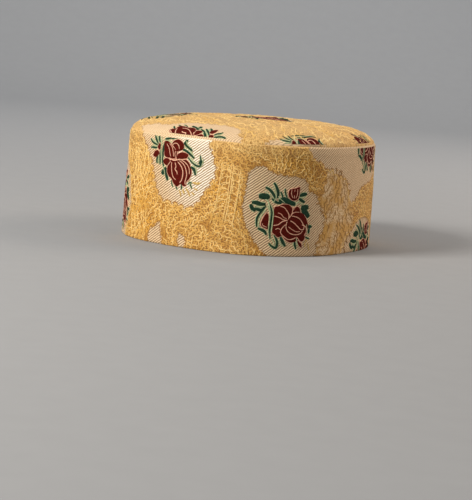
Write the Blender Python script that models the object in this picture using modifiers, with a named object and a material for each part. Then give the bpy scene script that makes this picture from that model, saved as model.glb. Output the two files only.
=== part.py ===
"""A brocade pillbox fez: a stiffened oval side band with a softly domed crown panel sewn on its top edge.

Units are metres, +Z is up and -Y is the front. The origin is the middle of the rim, on the surface
that the cap stands on.
"""

import math

import bmesh
import bpy
from mathutils import Vector

# The oval that the cap takes from the head, measured on the outside at the seam
HALF_LENGTH = 0.0970
HALF_WIDTH = 0.0835
SQUARENESS = 2.36          # 2 would be a plain ellipse
FRONT_FULLNESS = 0.04      # how much wider the front is than the middle, as a share
RIM_SPREAD = 1.018         # the rim is a little wider than the seam

# Brocade over a stiff interlining, as one wall
WALL = 0.0024
BAND_HEIGHT = 0.0773

# The crown panel's dome, above the seam
DOME_RISE = 0.0128
DOME_FLATNESS = 4.0        # a higher power keeps the middle flat for longer
DOME_SHOULDER = 0.62       # a lower power makes a steeper shoulder at the seam

SEAM_GAP = 0.0003          # between the band's top edge and the crown's
CROWN_TURN_UP = 0.0010     # the crown's cloth stands upright at the seam before it bends over
EDGE_RADIUS = 0.0008       # the turned-in rim and the rolled edges on both sides of the seam

# Facets
STEPS_AROUND = 96
BAND_OUTER_ROWS = 6
BAND_INNER_ROWS = 4
EDGE_SEGMENTS = 2
SHARP_EDGE = math.radians(50)
CROWN_RINGS = (0.0, 0.18, 0.36, 0.53, 0.68, 0.80, 0.89, 0.95, 0.983, 1.0)

# Colour as linear RGB, roughness and metallic value
BROCADE = ((0.80, 0.52, 0.17, 1.0), 0.55, 0.0)


def clear_scene():
    for old in list(bpy.data.objects):
        bpy.data.objects.remove(old, do_unlink=True)


def new_collection(name):
    made = bpy.data.collections.new(name)
    bpy.context.scene.collection.children.link(made)
    return made


def new_material(name, finish):
    colour, roughness, metallic = finish
    made = bpy.data.materials.new(name)
    made.use_nodes = True
    shader = made.node_tree.nodes["Principled BSDF"]
    shader.inputs["Base Color"].default_value = colour
    shader.inputs["Roughness"].default_value = roughness
    shader.inputs["Metallic"].default_value = metallic
    made.diffuse_color = colour
    return made


def oval_point(turn):
    """The outer oval at the seam. turn is the angle from +X, in radians."""
    c = math.cos(turn)
    s = math.sin(turn)
    reach = (abs(c) ** SQUARENESS + abs(s) ** SQUARENESS) ** (-1 / SQUARENESS)
    y = s * reach
    return Vector((HALF_WIDTH * c * reach * (1 - FRONT_FULLNESS * y), HALF_LENGTH * y, 0))


def oval_normal(turn):
    """The oval's outward direction, square to the wall."""
    step = math.pi / STEPS_AROUND / 4
    along = oval_point(turn + step) - oval_point(turn - step)
    return Vector((along.y, -along.x, 0)).normalized()


def spread(z):
    """The wall leans out from the seam down to the rim."""
    return RIM_SPREAD + (1 - RIM_SPREAD) * min(z / BAND_HEIGHT, 1)


def dome_height(ring, rise):
    return rise * (1 - ring ** DOME_FLATNESS) ** DOME_SHOULDER


def turned(name, profile, closed, place):
    """A mesh turned round Z from a profile of (radius, height), whose points then move onto the oval."""
    bm = bmesh.new()
    points = [bm.verts.new((radius, 0, height)) for radius, height in profile]
    pairs = list(zip(points, points[1:]))
    if closed:
        pairs.append((points[-1], points[0]))
    edges = [bm.edges.new(pair) for pair in pairs]
    bmesh.ops.spin(bm, geom=points + edges, cent=(0, 0, 0), axis=(0, 0, 1), angle=math.tau,
                   steps=STEPS_AROUND, use_merge=True)
    bmesh.ops.remove_doubles(bm, verts=bm.verts, dist=1e-6)
    for vert in bm.verts:
        radius = math.hypot(vert.co.x, vert.co.y)
        vert.co = place(math.atan2(vert.co.y, vert.co.x), radius, vert.co.z)
    bmesh.ops.recalc_face_normals(bm, faces=bm.faces)
    mesh = bpy.data.meshes.new(name)
    bm.to_mesh(mesh)
    bm.free()
    return mesh


def add_piece(mesh, material, collection):
    mesh.materials.append(material)
    mesh.shade_smooth()
    made = bpy.data.objects.new(mesh.name, mesh)
    collection.objects.link(made)
    return made


def roll_edges(piece):
    """Rounds the edges where the cloth is turned under."""
    bevel = piece.modifiers.new("rolled edges", "BEVEL")
    bevel.width = EDGE_RADIUS
    bevel.segments = EDGE_SEGMENTS
    bevel.limit_method = "ANGLE"
    bevel.angle_limit = SHARP_EDGE


def build_side_band(collection, brocade):
    """One strip of stiffened brocade, joined into an oval loop, with its lower edge turned in."""
    outer = [(1.0, BAND_HEIGHT * row / BAND_OUTER_ROWS) for row in range(BAND_OUTER_ROWS + 1)]
    inner = [(1.0 - WALL, BAND_HEIGHT * row / BAND_INNER_ROWS) for row in range(BAND_INNER_ROWS + 1)]

    def place(turn, radius, z):
        inset = 1.0 - radius
        return oval_point(turn) * spread(z) - oval_normal(turn) * inset + Vector((0, 0, z))

    mesh = turned("side_band", outer + inner[::-1], True, place)
    roll_edges(add_piece(mesh, brocade, collection))


def build_crown_panel(collection, brocade):
    """The oval top piece, a soft dome that rises steeply from the seam and is nearly flat in the middle."""
    foot = BAND_HEIGHT + SEAM_GAP
    rise = DOME_RISE - CROWN_TURN_UP
    dome = [(ring, foot + CROWN_TURN_UP + dome_height(ring, rise)) for ring in CROWN_RINGS]

    def place(turn, radius, z):
        return oval_point(turn) * radius + Vector((0, 0, z))

    mesh = turned("crown_panel", dome + [(1.0, foot)], False, place)
    piece = add_piece(mesh, brocade, collection)
    shell = piece.modifiers.new("cloth and interlining", "SOLIDIFY")
    shell.thickness = WALL
    shell.offset = -1
    shell.use_even_offset = True
    roll_edges(piece)


def build():
    clear_scene()
    fez = new_collection("fez")
    brocade = new_material("brocade", BROCADE)
    build_side_band(fez, brocade)
    build_crown_panel(fez, brocade)


build()
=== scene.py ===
"""A brocade pillbox fez: golden figured satin with cream twill fields and woven roses.

The cap stands on its rim on a plain pale floor. Units are metres, +Z is up and -Y is the front. The charts of
the pattern are in millimetres on the flat cloth: on the side band, along it from the front middle towards the
wearer's left and up from the rim; on the crown, from its middle, along the cloth and across it.
"""

import bisect
import math
import random

import bmesh
import bpy
import numpy as np
from mathutils import Matrix, Vector, noise


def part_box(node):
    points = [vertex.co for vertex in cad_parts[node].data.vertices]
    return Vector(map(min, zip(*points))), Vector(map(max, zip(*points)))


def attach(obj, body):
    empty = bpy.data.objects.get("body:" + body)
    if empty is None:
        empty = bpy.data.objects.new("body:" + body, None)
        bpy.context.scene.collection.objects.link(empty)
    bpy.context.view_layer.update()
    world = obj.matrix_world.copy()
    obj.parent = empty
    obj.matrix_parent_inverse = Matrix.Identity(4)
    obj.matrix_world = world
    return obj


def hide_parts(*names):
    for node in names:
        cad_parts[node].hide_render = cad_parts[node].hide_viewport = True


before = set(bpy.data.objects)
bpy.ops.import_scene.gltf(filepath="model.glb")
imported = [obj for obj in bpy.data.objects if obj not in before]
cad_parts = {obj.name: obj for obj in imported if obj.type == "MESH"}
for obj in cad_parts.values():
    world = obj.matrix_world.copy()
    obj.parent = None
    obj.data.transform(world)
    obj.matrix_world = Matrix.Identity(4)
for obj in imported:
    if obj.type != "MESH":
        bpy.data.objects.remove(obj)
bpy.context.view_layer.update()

bl_info = {
    "name": "Brocade fez",
    "version": (1, 0, 0),
    "blender": (4, 5, 0),
    "location": "3D View > Sidebar > Fez",
    "description": "Dresses the fez's solids in figured brocade",
    "category": "Object",
}

BODY = "root"
MM = 0.001

# The oval and the wall, as the solids have them
HALF_LENGTH = 0.0970
HALF_WIDTH = 0.0835
SQUARENESS = 2.36
FRONT_FULLNESS = 0.04
RIM_SPREAD = 1.018
WALL = 0.0024
BAND_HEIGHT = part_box("side_band")[1].z
CROWN_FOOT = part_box("crown_panel")[0].z
CROWN_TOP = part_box("crown_panel")[1].z
CROWN_TURN_UP = 0.0010
DOME_FLATNESS = 4.0
DOME_SHOULDER = 0.62
DOME_RISE = CROWN_TOP - CROWN_FOOT - CROWN_TURN_UP
FRONT_TURN = -math.pi / 2
MEAN_RADIUS = (HALF_LENGTH + HALF_WIDTH) / 2

# How the cloth lies on the band and turns over its edges
CLOTH_RISE = 1.6                    # the band's charts start this far above the rim, in millimetres
CORNER_ALONG = 46                   # the stiffening bends more sharply here, in millimetres along the band
CORNER_FULLNESS = 0.9               # and stands out this far, in millimetres
CORNER_REACH = 11
BAND_EDGE = 0.0009
BAND_ROLL = 0.0019                  # the round of the band's top edge, outside
BAND_TOP = BAND_HEIGHT + 0.0012     # the cloth rolls up over the seam, so that no gap shows

# How it lies on the crown
CROWN_GRAIN = math.radians(32)      # the crown's cloth is cut this far off the cap's own axes
CROWN_WAVE = 700                    # the crown's unevenness is read from another stretch of cloth
CROWN_RIPPLE = 0.9                  # height of its soft ripples, in millimetres
CROWN_REACH = 0.992                 # woven figures end this far out, where the cloth turns in at the seam
CROWN_FLATNESS = 0.8                # figures stand up less on the crown, which is pressed flatter
CROWN_TUCK = 0.0010                 # the crown's edge is stitched in this far behind the band's rolled top
CROWN_EDGE = 0.0009

# Fineness of the cloth meshes
STEPS_AROUND = 576
BAND_ROWS = 76
CROWN_ROWS = 72
INSIDE_ROWS = 8
EDGE_STEPS = 3
ARC_STEPS = 1440
SHARP_EDGE = math.radians(50)

# The fields' lobed outlines, in millimetres
FIELD_REACH = 6.0          # how far from an outline depths are told apart
LOBE_WIDTHS = (3.8, 7.6)
LOBE_DEPTH = 0.36          # of a lobe's width

# How far the woven figures stand off the ground, in millimetres
GOLD_LIFT = 0.22
PETAL_LIFT = 0.40
EDGING_LIFT = 0.30
LEAF_LIFT = 0.36
HALO_LIFT = 0.16
LINE_LIFT = 0.46
VEIN_LIFT = 0.40
CORD_LIFT = 0.52
SUNK = 0.12                # every raised figure reaches this far down into the cloth
SLAB_STEP = 3.0            # flat figures are cut this fine, so that they follow the cap's curve
CREST = 0.55               # a cord's flat top, as a share of its width
TAPER_POINTS = 3           # over this many points a cord narrows to its end
LEAF_SWELL = 1.12          # floss spreads wider than the charts' middle lines say
LINE_SWELL = 0.95          # and the fine lines are a little thinner
HALO = 0.8                 # how much wider a leaf's pale edging is than the leaf
PETAL_SWELL = 0.35         # how far a petal spreads past its chart
LEAF_BULGE = 1.15          # how much wider a leaf is in its middle than its chart says
EDGING = 0.5               # width of the pink edging round a petal

# The veins wander in steps, in millimetres, and keep about a gap apart
VEIN_STEP = 0.7
VEIN_WOBBLE = 0.72         # how far a vein swings to and fro, in radians
VEIN_WAVE = 5.8            # over this length
GOLD_GAP = 3.1
CROWN_GAP = 4.2
CROWN_DRAW = 3.4           # the crown's veins are drawn out this much across its cloth, to show seen flat
CROWN_BOLD = 1.25          # and are this much broader
LACE_GAP = 3.6
VEIN_WIDTH = 0.85
STEM_WIDTH = 1.0
ECHO_GAP = 1.5             # a vein echoes the lobed fields' outlines this far out
FLOSS_PITCH = 0.7          # drawn coarser than the real threads, to show

# The camera: its focal length is in picture heights
CAMERA_AZIMUTH = math.radians(32)
CAMERA_RISE = math.radians(7.55)
CAMERA_TILT = math.radians(4.5)
CAMERA_FOCAL = 3.58
CAMERA_AIM_RIGHT = -0.0088
CAMERA_AIM_UP = -0.0101
SENSOR = 0.036 / MM

# Soft lights: place, what they face, size, power and colour
LIGHTS = {
    "key_light": ((-1.12, -0.85, 0.9), (0, 0, 0.04), 0.5, 29.5, "#FFF8EE"),
    "side_light": ((1.3, 0.5, 0.8), (0, 0, 0.04), 0.9, 15, "#FFE9D0"),
    "top_light": ((0, 0.9, 1.9), (0, 2.4, 0.7), 1.4, 23, "#FFFFFF"),
}
AIR_LIGHT = 0.30
PAPER_NEAR = 4.0
PAPER_FAR = 2.4
PAPER_BEND = 0.8
PAPER_TALL = 3.0
PAPER_WIDE = 9.0


def linear(hex_colour):
    """An sRGB hex value as linear RGB."""
    parts = [int(hex_colour[i:i + 2], 16) / 255 for i in (1, 3, 5)]
    return [p / 12.92 if p <= 0.04045 else ((p + 0.055) / 1.055) ** 2.4 for p in parts]


def oval_point(turn):
    """The outer oval at the seam. turn is the angle from +X, in radians."""
    c = math.cos(turn)
    s = math.sin(turn)
    reach = (abs(c) ** SQUARENESS + abs(s) ** SQUARENESS) ** (-1 / SQUARENESS)
    y = s * reach
    return Vector((HALF_WIDTH * c * reach * (1 - FRONT_FULLNESS * y), HALF_LENGTH * y, 0))


def oval_normal(turn):
    """The oval's outward direction, square to the wall."""
    step = math.pi / ARC_STEPS
    along = oval_point(turn + step) - oval_point(turn - step)
    return Vector((along.y, -along.x, 0)).normalized()


def arc_table():
    """Lengths round the oval from the back middle to the back middle, in millimetres, 0 at the front."""
    turns = [FRONT_TURN - math.pi + math.tau * i / ARC_STEPS for i in range(ARC_STEPS + 1)]
    points = [oval_point(turn) for turn in turns]
    lengths = [0.0]
    for a, b in zip(points, points[1:]):
        lengths.append(lengths[-1] + (b - a).length / MM)
    half = lengths[-1] / 2
    return turns, [length - half for length in lengths]


TURNS, LENGTHS = arc_table()
GIRTH = 2 * LENGTHS[-1]


def turn_at(along):
    along = (along + GIRTH / 2) % GIRTH - GIRTH / 2
    i = min(max(bisect.bisect_right(LENGTHS, along), 1), ARC_STEPS)
    share = (along - LENGTHS[i - 1]) / (LENGTHS[i] - LENGTHS[i - 1])
    return TURNS[i - 1] + (TURNS[i] - TURNS[i - 1]) * share


def along_at(turn):
    turn = (turn - TURNS[0]) % math.tau + TURNS[0]
    i = min(int((turn - TURNS[0]) / math.tau * ARC_STEPS), ARC_STEPS - 1)
    share = (turn - TURNS[i]) / (TURNS[i + 1] - TURNS[i])
    return LENGTHS[i] + (LENGTHS[i + 1] - LENGTHS[i]) * share


def spread(z):
    """The wall leans out from the seam down to the rim."""
    return RIM_SPREAD + (1 - RIM_SPREAD) * min(max(z / BAND_HEIGHT, 0), 1)


def cloth_wave(along, up, from_seam):
    """The stiff cloth's slight unevenness, in millimetres, which the seam holds flat."""
    slow = noise.noise(Vector((along * 0.021, up * 0.025, 3.1))) * 0.5
    fast = noise.noise(Vector((along * 0.085, up * 0.07, 9.7))) * 0.16
    pucker = (0.3 - abs(noise.noise(Vector((along * 0.21, up * 0.17, 5.2))))) * 0.32
    return (slow + fast + pucker) * min(max(from_seam / 9, 0), 1)


def crown_ripple(along, across, ring):
    """The crown's cloth puckers softly along its veins, in millimetres."""
    wander = 9 * noise.noise(Vector((along * 0.018, across * 0.02, 4.4)))
    ridge = 1 - 2.4 * abs(noise.noise(Vector((along * 0.016, (across + wander) * 0.052, 8.8))))
    return (ridge - 0.3) * CROWN_RIPPLE * min(max((1 - ring) * 14, 0), 1)


def corner_fullness(along):
    """How far the soft corner of the stiffening stands out, in millimetres."""
    return CORNER_FULLNESS * math.exp(-((along - CORNER_ALONG) / CORNER_REACH) ** 2)


def band_bulge(along, up):
    """How far the band's cloth stands off its solid, in millimetres: its unevenness, its soft corner, and
    the fullness that the turned edges give it under the seam and over the rim."""
    to_seam = BAND_HEIGHT / MM - CLOTH_RISE - up
    under_seam = 0.2 * math.exp(-((to_seam - 4) / 2.2) ** 2)
    over_rim = 0.25 * math.exp(-((up + CLOTH_RISE - 2.6) / 2.0) ** 2)
    return cloth_wave(along, up, to_seam) + corner_fullness(along) + under_seam + over_rim


def on_band(along, up, lift):
    """A point of the flat cloth, in millimetres, laid on the side band."""
    turn = turn_at(along)
    z = (up + CLOTH_RISE) * MM
    out = lift + band_bulge(along, up)
    return oval_point(turn) * spread(z) + oval_normal(turn) * out * MM + Vector((0, 0, z))


def ring_at(x, y):
    """How far out a point of the crown is, as a share of the way to the seam."""
    ring = 1.0
    for _ in range(4):
        width = HALF_WIDTH * (1 - FRONT_FULLNESS * y / HALF_LENGTH / max(ring, 0.05))
        ring = (abs(x / width) ** SQUARENESS + abs(y / HALF_LENGTH) ** SQUARENESS) ** (1 / SQUARENESS)
    return ring


def dome_height(ring):
    return DOME_RISE * max(1 - ring ** DOME_FLATNESS, 0) ** DOME_SHOULDER


def crown_tuck(ring, along):
    """How the crown's cloth draws in towards its edge, as a share of the way out. along is along the seam."""
    drawn_in = CROWN_TUCK - corner_fullness(along) * MM
    return 1 - drawn_in / MEAN_RADIUS * min(ring, 1) ** 10


def crown_point(x, y):
    ring = ring_at(x, y)
    tuck = crown_tuck(ring, along_at(math.atan2(y / HALF_LENGTH, x / HALF_WIDTH)))
    return Vector((x * tuck, y * tuck, CROWN_FOOT + CROWN_TURN_UP + dome_height(ring)))


def crown_cloth_place(x, y):
    """The flat cloth's coordinates, in millimetres, of a point of the crown."""
    c = math.cos(CROWN_GRAIN)
    s = math.sin(CROWN_GRAIN)
    return (x * c + y * s) / MM, (-x * s + y * c) / MM


def crown_place(along, across):
    """A point of the crown, in metres, from the flat cloth's coordinates."""
    c = math.cos(CROWN_GRAIN)
    s = math.sin(CROWN_GRAIN)
    return (along * c - across * s) * MM, (along * s + across * c) * MM


def on_crown(along, across, lift):
    """A point of the flat cloth, in millimetres, laid on the crown."""
    x, y = crown_place(along, across)
    here = crown_point(x, y)
    step = 0.3 * MM
    inward = Vector((-x, -y, 0)).normalized() * step
    beside = Vector((-inward.y, inward.x, 0))
    rise = crown_point(x + inward.x, y + inward.y) - here
    side = crown_point(x + beside.x, y + beside.y) - here
    normal = side.cross(rise)
    if normal.z < 0:
        normal = -normal
    ring = ring_at(x, y)
    wave = cloth_wave(along + CROWN_WAVE, across, (1 - ring) * MEAN_RADIUS / MM)
    wave += crown_ripple(along, across, ring)
    return here + normal.normalized() * (lift * CROWN_FLATNESS + wave) * MM


# The tall rose, as it lies left of the band's middle. Petals are closed outlines. A row of the other tables
# is a line's width and its points.
TALL_PETALS = (
    ((-9.6, 70.8), (-8.5, 72.8), (-5.5, 74.3), (-2.8, 73.9), (-0.4, 72.2), (0.7, 70), (-0.4, 67.8),
     (-3, 66.6),
     (-5, 66), (-7.4, 68.5)),
    ((-16.8, 71.5), (-14, 72.4), (-11.3, 71), (-9.4, 69), (-7.2, 67.4), (-5.4, 65.8), (-5.2, 63.4),
     (-6, 61.2),
     (-9, 60.6), (-13, 60.8), (-16, 62), (-16.6, 66)),
    ((-5, 62.2), (-3.9, 64.2), (-1, 65.6), (2, 65.6), (4.6, 64.4), (3.6, 62.2), (0.8, 61.4), (-1.5, 60.4),
     (-4.4, 60.4)),
    ((-0.5, 61), (3, 60.8), (6, 58.8), (7.2, 56.4), (5, 55.6), (2.6, 57.2), (0.6, 59)),
    ((-16.8, 57.8), (-15.5, 59.6), (-13, 60.2), (-11, 59), (-11, 56.5), (-12.8, 55.2), (-15.2, 55.8)),
    ((-11, 58.6), (-12.3, 55), (-12.4, 51), (-10.6, 47.8), (-8, 46.4), (-6.2, 43.6), (-3.4, 41.4),
     (-1.4, 42.2),
     (0.4, 43.6), (2.4, 42.4), (4.8, 42.6), (4.8, 45.4), (7, 48), (8.4, 52), (7.4, 56), (4, 60),
     (0, 60.6), (-6, 60)),
    ((-27.4, 61), (-25.6, 64), (-23, 64.8), (-21.4, 63), (-22.6, 60.6), (-25.6, 60)),
    ((-23.4, 67.2), (-21.6, 70), (-20, 69), (-19.6, 66.6), (-21.4, 65.6)),
)
TALL_VEINS = (
    (0.9, (-9.4, 70.2), (-7.4, 71.6), (-5.2, 71.4), (-3.6, 69.8), (-3.2, 67.6)),
    (0.8, (-14.6, 70.6), (-12.4, 67.6), (-11.2, 64.2), (-10.2, 61.6)),
    (0.9, (-12.2, 71.2), (-9.6, 68.6), (-8.2, 65), (-7.6, 61.6)),
    (0.8, (-6.2, 66.4), (-6.6, 63.8), (-5.6, 61)),
    (1.3, (-12.4, 60.6), (-9.8, 60.2), (-7.4, 59.4), (-4.4, 60), (-1.4, 61)),
    (1.0, (-9, 58.6), (-8.6, 54), (-7.8, 50), (-6.2, 47.2), (-4, 45.8)),
    (1.1, (-6.2, 58.4), (-4.8, 55.4), (-5.4, 53.4), (-3.6, 51.4), (-3.2, 49.6)),
    (1.2, (-4, 59), (-0.8, 56.4), (1.2, 53), (1.6, 49.6), (0.8, 46), (-0.8, 44)),
    (1.1, (-2.6, 60), (1.8, 57.2), (4.2, 53), (4.8, 49.6), (4, 45.4), (4.6, 43)),
    (1.0, (-1, 60.6), (3.8, 58.2), (6.4, 55), (7, 51)),
    (0.9, (-5.4, 59.6), (-3, 60.4), (0, 60.8), (3.2, 61.2)),
    (0.8, (-12.6, 55), (-11.2, 56.8), (-9.8, 58.4)),
)
TALL_LEAVES = (
    (1.7, (-31.4, 72.6), (-29, 70.4), (-26.4, 69.4), (-23.4, 68.6)),
    (1.6, (-30.6, 66), (-28.4, 66.6), (-26, 66.4), (-23.8, 66.8)),
    (2.0, (-27, 76), (-25.8, 73.4), (-24, 71), (-22.8, 69.4)),
    (1.8, (-22.6, 76.6), (-22.2, 73.6), (-21, 70.6)),
    (2.4, (-16.6, 71), (-17.4, 67.6), (-17.8, 64), (-17.8, 60.4)),
    (1.8, (-20.6, 65.6), (-20.4, 61), (-20, 55)),
    (1.8, (-22.6, 61.6), (-23.4, 58.6), (-23, 55.6)),
    (1.8, (-18.2, 60.4), (-17.4, 57), (-16.4, 54)),
    (3.6, (-17.6, 48.6), (-15.6, 50.6), (-13.6, 53.6)),
    (2.8, (-15.6, 53), (-13.4, 49), (-11.6, 44.6)),
    (1.7, (-20.6, 76), (-15, 77.4), (-8, 78)),
    (1.8, (-16.6, 73.6), (-12.6, 74.6), (-9, 76.4)),
    (2.0, (-10.6, 74.4), (-6, 76), (0.6, 76.6)),
    (2.2, (0.2, 71.6), (1.8, 73.2), (3, 75.4)),
    (2.1, (0.6, 72.4), (3.6, 70.2), (7.8, 67.6)),
    (2.0, (-1.4, 68.4), (3.6, 66.6), (9.8, 62.6)),
    (1.6, (4.2, 63), (8, 59.8), (11.6, 57.8), (14.6, 57.6), (15.6, 60), (15, 62.6), (14.4, 65.2)),
    (2.6, (14, 59), (15.2, 60.6), (15.6, 62)),
    (2.3, (7.2, 56.2), (10.2, 54.8), (11.8, 50.8)),
    (1.1, (-8, 45.6), (-7.4, 42.4), (-6.2, 40.4)),
    (1.2, (-4.4, 42.6), (-3.2, 40.6), (-2.4, 39)),
    (1.4, (0.8, 43.6), (1.2, 41.4), (1, 39.4)),
    (0.9, (6.2, 43.4), (7.6, 45.4), (9.6, 45)),
    (1.0, (8, 44.6), (8.8, 43), (9.8, 41.2)),
)
TALL_LEAF_VEINS = (
    (0.9, (-29.8, 72.6), (-27.6, 71.4), (-25, 70.4), (-22.6, 68.6)),
    (0.8, (-29.4, 68), (-26.4, 67.8), (-23.8, 67.8)),
    (1.0, (-24.8, 76.4), (-23.6, 73), (-22.2, 70.2)),
    (1.1, (-19.8, 75), (-19.6, 70), (-19.8, 65), (-19, 60), (-18.2, 56.4)),
    (0.9, (-18.6, 72.8), (-13.4, 72.8), (-9.6, 71.4)),
    (0.9, (-17.6, 75.6), (-11, 76), (-5, 77.4), (0, 78)),
    (0.9, (-22, 62), (-21.8, 58.4), (-21.6, 55.4)),
    (0.9, (-17.4, 54.4), (-15.4, 51.6), (-13.8, 46.8)),
    (0.9, (2, 74.4), (3.4, 71.8), (7.2, 69.2)),
    (0.9, (0.4, 70.2), (4.6, 68.4), (8.8, 65)),
    (0.8, (6.4, 63), (9.6, 60.4), (12.6, 59.4)),
    (0.8, (16.8, 63.4), (17, 60.4), (15.6, 57)),
    (0.8, (9.2, 57.4), (12, 55.4), (13, 52.4)),
)
TALL_SPRIGS = (
    (1.6, (10, 45.6), (13, 45), (16.4, 45.8)),
    (1.4, (5, 40.6), (7, 38.4), (8.8, 35.4)),
    (1.4, (2.2, 39.6), (4, 36.8)),
    (1.2, (12, 41.4), (14.4, 40.4)),
    (1.2, (-0.6, 38.6), (0.8, 36.6), (1.2, 34.6)),
    (1.2, (10.2, 38.4), (12.4, 36.8)),
)

# The round rose, as it lies low on the band, right of its middle
ROUND_PETALS = (
    ((70.4, 28), (70.8, 33.4), (73.4, 34.2), (77, 35.6), (81, 35.4), (83.6, 33.6), (85, 31.4), (86.6, 33.6),
     (88.6, 34.2), (90.4, 32.4), (90.6, 30.4), (93.6, 29), (96.4, 25.6), (98.4, 21), (97.8, 17), (96.4, 14),
     (95.6, 10.8), (93.8, 9.6), (91.8, 10.6), (89.6, 10.4), (86.4, 9), (83, 9.4), (80, 11.4), (78, 13.8),
     (76.4, 13),
     (74.4, 12.6), (72, 14.6), (70.4, 16), (70.4, 22)),
    ((62, 21.6), (63.4, 26), (65.6, 29), (66.8, 26.6), (66.8, 21.6), (67, 18), (64.6, 18.6), (62.8, 19.6)),
    ((80.6, 43), (81, 45.8), (83, 46.8), (86, 47.2), (89, 48.2), (89, 44.6), (88.4, 40.8), (86.6, 39),
     (83.8, 39),
     (81.6, 40.6)),
    ((90.2, 9.6), (91.4, 7.2), (94.2, 5.2), (93.8, 7.4), (92, 9.8)),
)
ROUND_VEINS = (
    (1.0, (81.6, 25), (82, 28), (80.2, 31), (77.6, 33.6), (74.6, 34.4)),
    (0.8, (81, 25.4), (78, 26.6), (75.6, 29), (73.4, 29.6)),
    (1.0, (81.4, 24.6), (78, 24.8), (74.6, 26.4), (70.4, 27.4)),
    (1.0, (81, 24.4), (77.4, 23.6), (74, 21.2), (70.4, 20.6)),
    (1.0, (82, 26), (84, 28.8), (84.4, 31.6), (85, 34.4)),
    (0.8, (83.6, 28.8), (86.4, 30.4), (90.4, 30.4)),
    (1.0, (84, 27.6), (88, 27), (91.6, 25), (94.4, 21.4), (96.8, 19.4), (97, 16.4), (95.6, 13.6)),
    (1.1, (82.4, 24.6), (86, 23), (89, 20.6), (92, 18.2), (94.4, 18.2), (94.8, 20.6), (92.8, 21.6)),
    (1.0, (80.8, 24), (80.2, 20.4), (81.2, 17.4), (84, 15.2), (88, 14.4), (92, 15.2), (94, 17.4)),
    (0.8, (81.4, 20.6), (84.6, 18.4), (88.6, 16.6), (92.4, 16.8)),
    (1.0, (79.8, 21.4), (77.4, 19), (76.4, 15.8), (78.8, 13.2), (82.6, 11), (86.6, 11.4), (89, 13)),
    (1.0, (88.6, 13.2), (90.6, 11.4), (92.4, 9), (94.6, 8.2)),
    (0.8, (62.6, 22), (63.4, 20.2), (66.6, 19)),
    (0.9, (61.6, 19.8), (61.6, 22.4), (63, 26.4), (65, 29.6)),
    (0.8, (82.8, 47), (82.6, 43.4), (84.2, 40)),
    (0.8, (85.2, 46.6), (85, 43), (85.4, 39.6)),
    (0.8, (87.4, 47), (87.4, 43.4), (86.4, 40)),
    (0.8, (76.4, 17.6), (74.4, 18.6), (72, 17.6)),
)
ROUND_LEAVES = (
    (2.2, (69, 50.8), (71.2, 47.4), (72.6, 43.6), (72.2, 40)),
    (2.2, (63.2, 47.2), (66.6, 45.4), (69.6, 41.8), (71, 39)),
    (4.4, (58.8, 40.4), (61.2, 40.8), (64.6, 40.6), (66.6, 40.8)),
    (3.0, (54.2, 36), (57.2, 36), (60.6, 35.2), (64, 35.4)),
    (2.4, (54, 31), (57.6, 31.6), (61.4, 31), (64.2, 34.2)),
    (2.8, (53.6, 34.8), (54.6, 32.4), (57.2, 30)),
    (1.8, (63.2, 32), (60.4, 28.6), (58.6, 24.4), (59, 19)),
    (2.3, (59.8, 18), (62.6, 17.2), (65, 15.8), (66, 13.6)),
    (1.5, (66.4, 36), (68.8, 31), (69, 26), (68.6, 20), (68.6, 15), (69, 11)),
    (2.0, (71.8, 14), (73.6, 11), (74.6, 8), (73.8, 4.8), (71, 5.6), (68.4, 7.8)),
    (2.4, (76.4, 12.8), (78.4, 9.6), (80.8, 6)),
    (1.8, (87.8, 10), (88.4, 7), (89.6, 4)),
    (4.4, (73.4, 37.6), (77, 38.8), (81, 37.4), (86.4, 36)),
    (1.3, (74.4, 44.6), (75.8, 41.8), (76.6, 39)),
    (1.3, (77.4, 47), (78, 43.6), (79.4, 40.6)),
    (2.0, (68.4, 39.4), (71.6, 37), (75.6, 36.4)),
    (2.8, (89.4, 42), (92.6, 43), (95.8, 43.4)),
    (2.3, (89.2, 40), (91.8, 38.6), (94.4, 37.4)),
    (4.4, (91.4, 34), (94, 33.4), (98, 34.2)),
    (4.6, (92, 31.4), (95, 30.4), (98.8, 27)),
    (2.4, (97.4, 19.8), (99.6, 20.2), (102.2, 20)),
    (2.0, (99.6, 19.8), (99.6, 17.6), (99.6, 15.2)),
    (1.3, (96.8, 12.8), (98.6, 12), (100.6, 11.4)),
)
ROUND_LEAF_VEINS = (
    (0.9, (68, 48), (70.4, 44.6), (71.2, 40.6), (69.4, 36.6)),
    (0.9, (62.2, 44.6), (65.6, 42.8), (68.4, 39.8)),
    (1.2, (63.6, 38.6), (65.6, 37.6), (66.8, 34), (67.6, 30)),
    (0.8, (56.8, 33.8), (60, 33.2), (63.6, 33.8)),
    (0.9, (64.6, 31.6), (61.6, 26.6), (60.2, 22), (60.4, 18.8)),
    (0.9, (64.8, 35), (67.4, 30), (67.6, 24), (67.2, 15)),
    (0.9, (68, 35), (70, 30), (70, 24), (69.8, 16)),
    (0.8, (72.6, 41.4), (74.6, 39.4), (78, 36.8)),
    (0.9, (70, 11.6), (72, 8.6), (72.4, 6.6)),
    (0.9, (75.4, 10.6), (77, 7.8), (79, 5.8)),
    (0.9, (86.4, 35), (88.4, 37.6), (90.6, 36.8), (93.6, 35.6)),
    (0.9, (88.6, 41.4), (91.6, 40.6), (95, 41.6)),
    (0.8, (96.8, 22.4), (97.6, 18.6), (98.6, 14.4)),
    (0.9, (88.8, 12.8), (89.8, 9), (91, 6)),
    (0.8, (86.6, 9), (87.4, 6.4)),
)
ROUND_SPRIGS = (
    (0.8, (96.8, 8.6), (97.4, 5.6)),
    (0.9, (99.6, 8.6), (100.4, 5.2), (101.4, 3)),
    (0.7, (98.4, 11), (97.4, 9)),
)
TALL_MIDDLE = (-4, 57)
ROUND_MIDDLE = (80, 26)

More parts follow.
